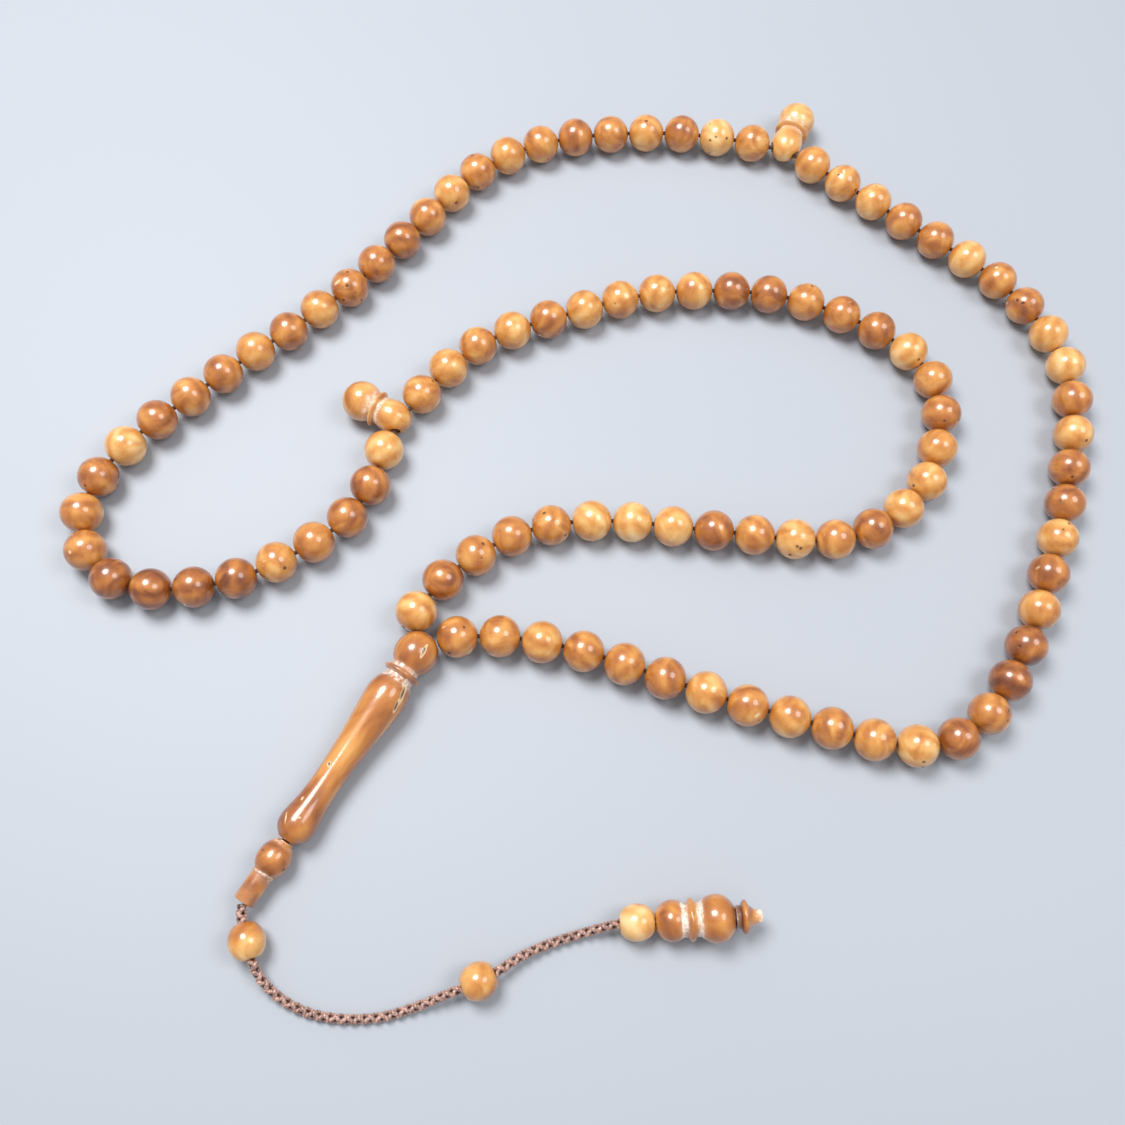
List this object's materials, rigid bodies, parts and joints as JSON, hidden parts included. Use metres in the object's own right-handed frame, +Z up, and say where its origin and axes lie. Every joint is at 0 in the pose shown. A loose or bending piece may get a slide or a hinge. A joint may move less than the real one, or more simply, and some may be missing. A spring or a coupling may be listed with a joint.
{
  "type": "misbaha prayer beads",
  "caption": "Closed loop of turned wooden prayer beads with two dividers, a long turned leader, and a braided tail with small beads and a finial, lying flat.",
  "frame": {"origin": "centre of the underside of the box round everything but the tail braid, on the surface it lies on", "axes": "+Z up, +X to the right, +Y from the tail towards the far side of the loop"},
  "size_m": [0.2074, 0.2067, 0.0085],
  "materials": {
    "loop_bead": "turned and polished brown wood",
    "divider": "turned and polished pale brown wood",
    "leader_wood": "turned and polished reddish brown wood",
    "tip_wood": "turned brown wood with raw edges",
    "tail_bead": "turned and polished honey wood",
    "loop_cord": "fine twisted dark cord",
    "tail_braid": "plaited satin cord"
  },
  "bodies": {
    "leader": {"leader": "leader_wood", "core_cord": "loop_cord"},
    "leader_tip": {"leader_tip": "tip_wood"},
    "loop": {"loop_cord": "loop_cord"},
    "tail": {"tail_cord": "tail_braid", "end_knot": "tail_braid"},
    "finial": {"finial": "leader_wood"},
    "finial_cap": {"finial_cap": "tip_wood"},
    "divider_1": {"divider_1": "divider"},
    "divider_2": {"divider_2": "divider"},
    "tail_bead_1": {"tail_bead_1": "tail_bead"},
    "tail_bead_2": {"tail_bead_2": "tail_bead"},
    "tail_bead_3": {"tail_bead_3": "tail_bead"},
    "run_1_beads_01": {"run_1_beads_01": "loop_bead"},
    "run_1_beads_02": {"run_1_beads_02": "loop_bead"},
    "run_1_beads_03": {"run_1_beads_03": "loop_bead"},
    "run_1_beads_04": {"run_1_beads_04": "loop_bead"},
    "run_1_beads_05": {"run_1_beads_05": "loop_bead"},
    "run_1_beads_06": {"run_1_beads_06": "loop_bead"},
    "run_1_beads_07": {"run_1_beads_07": "loop_bead"},
    "run_1_beads_08": {"run_1_beads_08": "loop_bead"},
    "run_1_beads_09": {"run_1_beads_09": "loop_bead"},
    "run_1_beads_10": {"run_1_beads_10": "loop_bead"},
    "run_1_beads_11": {"run_1_beads_11": "loop_bead"},
    "run_1_beads_12": {"run_1_beads_12": "loop_bead"},
    "run_1_beads_13": {"run_1_beads_13": "loop_bead"},
    "run_1_beads_14": {"run_1_beads_14": "loop_bead"},
    "run_1_beads_15": {"run_1_beads_15": "loop_bead"},
    "run_2_beads_01": {"run_2_beads_01": "loop_bead"},
    "run_2_beads_02": {"run_2_beads_02": "loop_bead"},
    "run_2_beads_03": {"run_2_beads_03": "loop_bead"},
    "run_2_beads_04": {"run_2_beads_04": "loop_bead"},
    "run_2_beads_05": {"run_2_beads_05": "loop_bead"},
    "run_2_beads_06": {"run_2_beads_06": "loop_bead"},
    "run_2_beads_07": {"run_2_beads_07": "loop_bead"},
    "run_2_beads_08": {"run_2_beads_08": "loop_bead"},
    "run_2_beads_09": {"run_2_beads_09": "loop_bead"},
    "run_2_beads_10": {"run_2_beads_10": "loop_bead"},
    "run_2_beads_11": {"run_2_beads_11": "loop_bead"},
    "run_2_beads_12": {"run_2_beads_12": "loop_bead"},
    "run_2_beads_13": {"run_2_beads_13": "loop_bead"},
    "run_2_beads_14": {"run_2_beads_14": "loop_bead"},
    "run_2_beads_15": {"run_2_beads_15": "loop_bead"},
    "run_2_beads_16": {"run_2_beads_16": "loop_bead"},
    "run_3_beads_01": {"run_3_beads_01": "loop_bead"},
    "run_3_beads_02": {"run_3_beads_02": "loop_bead"},
    "run_3_beads_03": {"run_3_beads_03": "loop_bead"},
    "run_3_beads_04": {"run_3_beads_04": "loop_bead"},
    "run_3_beads_05": {"run_3_beads_05": "loop_bead"},
    "run_3_beads_06": {"run_3_beads_06": "loop_bead"},
    "run_3_beads_07": {"run_3_beads_07": "loop_bead"},
    "run_3_beads_08": {"run_3_beads_08": "loop_bead"},
    "run_3_beads_09": {"run_3_beads_09": "loop_bead"},
    "run_3_beads_10": {"run_3_beads_10": "loop_bead"},
    "run_3_beads_11": {"run_3_beads_11": "loop_bead"},
    "run_3_beads_12": {"run_3_beads_12": "loop_bead"},
    "run_3_beads_13": {"run_3_beads_13": "loop_bead"},
    "run_3_beads_14": {"run_3_beads_14": "loop_bead"},
    "run_3_beads_15": {"run_3_beads_15": "loop_bead"},
    "run_3_beads_16": {"run_3_beads_16": "loop_bead"}
  },
  "joints": [
    {"name": "leader_tip_turn", "type": "hinge", "parent": "leader", "child": "leader_tip", "pos_m": [-0.05417, -0.0881, 0.00316], "axis": [-0.4445, -0.8955, -0.0212], "continuous": true},
    {"name": "loop_swing", "type": "hinge", "parent": "leader", "child": "loop", "pos_m": [-0.03031, -0.04002, 0.0043], "axis": [0, 0, 1], "range_deg": [-10, 20]},
    {"name": "braid_swing", "type": "hinge", "parent": "leader", "child": "tail", "pos_m": [-0.05417, -0.0881, 0.00316], "axis": [0, 0, 1], "range_deg": [-35, 10]},
    {"name": "divider_1_turn", "type": "hinge", "parent": "loop", "child": "divider_1", "pos_m": [0.03621, 0.08731, 0.00415], "axis": [-0.9564, 0.2922, 0], "continuous": true},
    {"name": "divider_2_turn", "type": "hinge", "parent": "loop", "child": "divider_2", "pos_m": [-0.04035, 0.00871, 0.00415], "axis": [0.3846, 0.9231, 0], "continuous": true},
    {"name": "finial_turn", "type": "hinge", "parent": "tail", "child": "finial", "pos_m": [0.01563, -0.0845, 0.00318], "axis": [0.9865, 0.1457, 0.075], "continuous": true},
    {"name": "finial_cap_turn", "type": "hinge", "parent": "tail", "child": "finial_cap", "pos_m": [0.03298, -0.08193, 0.0045], "axis": [0.9865, 0.1457, 0.075], "continuous": true},
    {"name": "braid_bead_1_slide", "type": "slide", "parent": "tail", "child": "tail_bead_1", "axis": [0.415, -0.9097, -0.016], "range_m": [-0.0015, 0.0015]},
    {"name": "braid_bead_2_slide", "type": "slide", "parent": "tail", "child": "tail_bead_2", "axis": [0.8682, 0.4961, 0], "range_m": [-0.0015, 0.0015]},
    {"name": "braid_bead_3_slide", "type": "slide", "parent": "tail", "child": "tail_bead_3", "axis": [0.9865, 0.1457, 0.0748], "range_m": [-0.0015, 0]},
    {"name": "run_1_beads_01_turn", "type": "hinge", "parent": "loop", "child": "run_1_beads_01", "pos_m": [-0.01884, -0.0353, 0.00415], "axis": [0.9924, 0.1233, 0], "continuous": true},
    {"name": "run_1_beads_02_turn", "type": "hinge", "parent": "loop", "child": "run_1_beads_02", "pos_m": [-0.00253, -0.03555, 0.00415], "axis": [0.9932, -0.1161, 0], "continuous": true},
    {"name": "run_1_beads_03_turn", "type": "hinge", "parent": "loop", "child": "run_1_beads_03", "pos_m": [0.01754, -0.03961, 0.00415], "axis": [0.9717, -0.2363, 0], "continuous": true},
    {"name": "run_1_beads_04_turn", "type": "hinge", "parent": "loop", "child": "run_1_beads_04", "pos_m": [0.04567, -0.04521, 0.00415], "axis": [0.9865, -0.1635, 0], "continuous": true},
    {"name": "run_1_beads_05_turn", "type": "hinge", "parent": "loop", "child": "run_1_beads_05", "pos_m": [0.06598, -0.04754, 0.00415], "axis": [0.9952, 0.0979, 0], "continuous": true},
    {"name": "run_1_beads_06_turn", "type": "hinge", "parent": "loop", "child": "run_1_beads_06", "pos_m": [0.07382, -0.04531, 0.00415], "axis": [0.8795, 0.4759, 0], "continuous": true},
    {"name": "run_1_beads_07_turn", "type": "hinge", "parent": "loop", "child": "run_1_beads_07", "pos_m": [0.07981, -0.03982, 0.00415], "axis": [0.6077, 0.7941, 0], "continuous": true},
    {"name": "run_1_beads_08_turn", "type": "hinge", "parent": "loop", "child": "run_1_beads_08", "pos_m": [0.08583, -0.02912, 0.00415], "axis": [0.4194, 0.9078, 0], "continuous": true},
    {"name": "run_1_beads_09_turn", "type": "hinge", "parent": "loop", "child": "run_1_beads_09", "pos_m": [0.09268, -0.00984, 0.00415], "axis": [0.2769, 0.9609, 0], "continuous": true},
    {"name": "run_1_beads_10_turn", "type": "hinge", "parent": "loop", "child": "run_1_beads_10", "pos_m": [0.09817, 0.0141, 0.00415], "axis": [0.1613, 0.9869, 0], "continuous": true},
    {"name": "run_1_beads_11_turn", "type": "hinge", "parent": "loop", "child": "run_1_beads_11", "pos_m": [0.09922, 0.03444, 0.00415], "axis": [-0.1232, 0.9924, 0], "continuous": true},
    {"name": "run_1_beads_12_turn", "type": "hinge", "parent": "loop", "child": "run_1_beads_12", "pos_m": [0.0954, 0.04596, 0.00415], "axis": [-0.5288, 0.8488, 0], "continuous": true},
    {"name": "run_1_beads_13_turn", "type": "hinge", "parent": "loop", "child": "run_1_beads_13", "pos_m": [0.0876, 0.05542, 0.00415], "axis": [-0.7087, 0.7055, 0], "continuous": true},
    {"name": "run_1_beads_14_turn", "type": "hinge", "parent": "loop", "child": "run_1_beads_14", "pos_m": [0.071, 0.06728, 0.00415], "axis": [-0.8595, 0.5112, 0], "continuous": true},
    {"name": "run_1_beads_15_turn", "type": "hinge", "parent": "loop", "child": "run_1_beads_15", "pos_m": [0.05001, 0.0801, 0.00415], "axis": [-0.8552, 0.5183, 0], "continuous": true},
    {"name": "run_2_beads_01_turn", "type": "hinge", "parent": "loop", "child": "run_2_beads_01", "pos_m": [0.02485, 0.08896, 0.00415], "axis": [-0.9974, 0.0717, 0], "continuous": true},
    {"name": "run_2_beads_02_turn", "type": "hinge", "parent": "loop", "child": "run_2_beads_02", "pos_m": [0.00848, 0.08879, 0.00415], "axis": [-0.995, -0.0996, 0], "continuous": true},
    {"name": "run_2_beads_03_turn", "type": "hinge", "parent": "loop", "child": "run_2_beads_03", "pos_m": [-0.00765, 0.08597, 0.00415], "axis": [-0.9722, -0.2341, 0], "continuous": true},
    {"name": "run_2_beads_04_turn", "type": "hinge", "parent": "loop", "child": "run_2_beads_04", "pos_m": [-0.02282, 0.08002, 0.00415], "axis": [-0.8649, -0.502, 0], "continuous": true},
    {"name": "run_2_beads_05_turn", "type": "hinge", "parent": "loop", "child": "run_2_beads_05", "pos_m": [-0.03507, 0.06939, 0.00415], "axis": [-0.6097, -0.7926, 0], "continuous": true},
    {"name": "run_2_beads_06_turn", "type": "hinge", "parent": "loop", "child": "run_2_beads_06", "pos_m": [-0.04663, 0.05248, 0.00415], "axis": [-0.5648, -0.8252, 0], "continuous": true},
    {"name": "run_2_beads_07_turn", "type": "hinge", "parent": "loop", "child": "run_2_beads_07", "pos_m": [-0.06149, 0.03294, 0.00415], "axis": [-0.6677, -0.7444, 0], "continuous": true},
    {"name": "run_2_beads_08_turn", "type": "hinge", "parent": "loop", "child": "run_2_beads_08", "pos_m": [-0.08128, 0.01221, 0.00415], "axis": [-0.6782, -0.7349, 0], "continuous": true},
    {"name": "run_2_beads_09_turn", "type": "hinge", "parent": "loop", "child": "run_2_beads_09", "pos_m": [-0.09644, -0.00699, 0.00415], "axis": [-0.4555, -0.8902, 0], "continuous": true},
    {"name": "run_2_beads_10_turn", "type": "hinge", "parent": "loop", "child": "run_2_beads_10", "pos_m": [-0.09972, -0.01864, 0.00415], "axis": [0.0863, -0.9963, 0], "continuous": true},
    {"name": "run_2_beads_11_turn", "type": "hinge", "parent": "loop", "child": "run_2_beads_11", "pos_m": [-0.09709, -0.02631, 0.00415], "axis": [0.566, -0.8244, 0], "continuous": true},
    {"name": "run_2_beads_12_turn", "type": "hinge", "parent": "loop", "child": "run_2_beads_12", "pos_m": [-0.09088, -0.0315, 0.00415], "axis": [0.9175, -0.3976, 0], "continuous": true},
    {"name": "run_2_beads_13_turn", "type": "hinge", "parent": "loop", "child": "run_2_beads_13", "pos_m": [-0.07881, -0.0321, 0.00415], "axis": [0.9869, 0.1615, 0], "continuous": true},
    {"name": "run_2_beads_14_turn", "type": "hinge", "parent": "loop", "child": "run_2_beads_14", "pos_m": [-0.0635, -0.02669, 0.00415], "axis": [0.8625, 0.5061, 0], "continuous": true},
    {"name": "run_2_beads_15_turn", "type": "hinge", "parent": "loop", "child": "run_2_beads_15", "pos_m": [-0.05064, -0.01668, 0.00415], "axis": [0.6868, 0.7269, 0], "continuous": true},
    {"name": "run_2_beads_16_turn", "type": "hinge", "parent": "loop", "child": "run_2_beads_16", "pos_m": [-0.04361, -0.00228, 0.00415], "axis": [0.1846, 0.9828, 0], "continuous": true},
    {"name": "run_3_beads_01_turn", "type": "hinge", "parent": "loop", "child": "run_3_beads_01", "pos_m": [-0.03475, 0.01873, 0.00415], "axis": [0.5635, 0.8261, 0], "continuous": true},
    {"name": "run_3_beads_02_turn", "type": "hinge", "parent": "loop", "child": "run_3_beads_02", "pos_m": [-0.02354, 0.03046, 0.00415], "axis": [0.8298, 0.5581, 0], "continuous": true},
    {"name": "run_3_beads_03_turn", "type": "hinge", "parent": "loop", "child": "run_3_beads_03", "pos_m": [-0.00536, 0.03983, 0.00415], "axis": [0.9103, 0.4139, 0], "continuous": true},
    {"name": "run_3_beads_04_turn", "type": "hinge", "parent": "loop", "child": "run_3_beads_04", "pos_m": [0.0139, 0.04659, 0.00415], "axis": [0.9795, 0.2013, 0], "continuous": true},
    {"name": "run_3_beads_05_turn", "type": "hinge", "parent": "loop", "child": "run_3_beads_05", "pos_m": [0.03016, 0.04844, 0.00415], "axis": [0.9998, 0.0201, 0], "continuous": true},
    {"name": "run_3_beads_06_turn", "type": "hinge", "parent": "loop", "child": "run_3_beads_06", "pos_m": [0.04634, 0.04645, 0.00415], "axis": [0.9634, -0.2682, 0], "continuous": true},
    {"name": "run_3_beads_07_turn", "type": "hinge", "parent": "loop", "child": "run_3_beads_07", "pos_m": [0.05785, 0.0422, 0.00415], "axis": [0.8974, -0.4413, 0], "continuous": true},
    {"name": "run_3_beads_08_turn", "type": "hinge", "parent": "loop", "child": "run_3_beads_08", "pos_m": [0.0648, 0.03789, 0.00415], "axis": [0.7713, -0.6364, 0], "continuous": true},
    {"name": "run_3_beads_09_turn", "type": "hinge", "parent": "loop", "child": "run_3_beads_09", "pos_m": [0.06996, 0.0316, 0.00415], "axis": [0.4319, -0.9019, 0], "continuous": true},
    {"name": "run_3_beads_10_turn", "type": "hinge", "parent": "loop", "child": "run_3_beads_10", "pos_m": [0.07112, 0.01956, 0.00415], "axis": [-0.1138, -0.9935, 0], "continuous": true},
    {"name": "run_3_beads_11_turn", "type": "hinge", "parent": "loop", "child": "run_3_beads_11", "pos_m": [0.06598, 0.00434, 0.00415], "axis": [-0.5906, -0.807, 0], "continuous": true},
    {"name": "run_3_beads_12_turn", "type": "hinge", "parent": "loop", "child": "run_3_beads_12", "pos_m": [0.05351, -0.00573, 0.00415], "axis": [-0.9207, -0.3904, 0], "continuous": true},
    {"name": "run_3_beads_13_turn", "type": "hinge", "parent": "loop", "child": "run_3_beads_13", "pos_m": [0.02521, -0.00822, 0.00415], "axis": [-1, -0.0013, 0], "continuous": true},
    {"name": "run_3_beads_14_turn", "type": "hinge", "parent": "loop", "child": "run_3_beads_14", "pos_m": [-0.00334, -0.00982, 0.00415], "axis": [-0.9739, -0.2271, 0], "continuous": true},
    {"name": "run_3_beads_15_turn", "type": "hinge", "parent": "loop", "child": "run_3_beads_15", "pos_m": [-0.01815, -0.01641, 0.00415], "axis": [-0.8054, -0.5928, 0], "continuous": true},
    {"name": "run_3_beads_16_turn", "type": "hinge", "parent": "loop", "child": "run_3_beads_16", "pos_m": [-0.02931, -0.02814, 0.00415], "axis": [-0.5206, -0.8538, 0], "continuous": true}
  ]
}
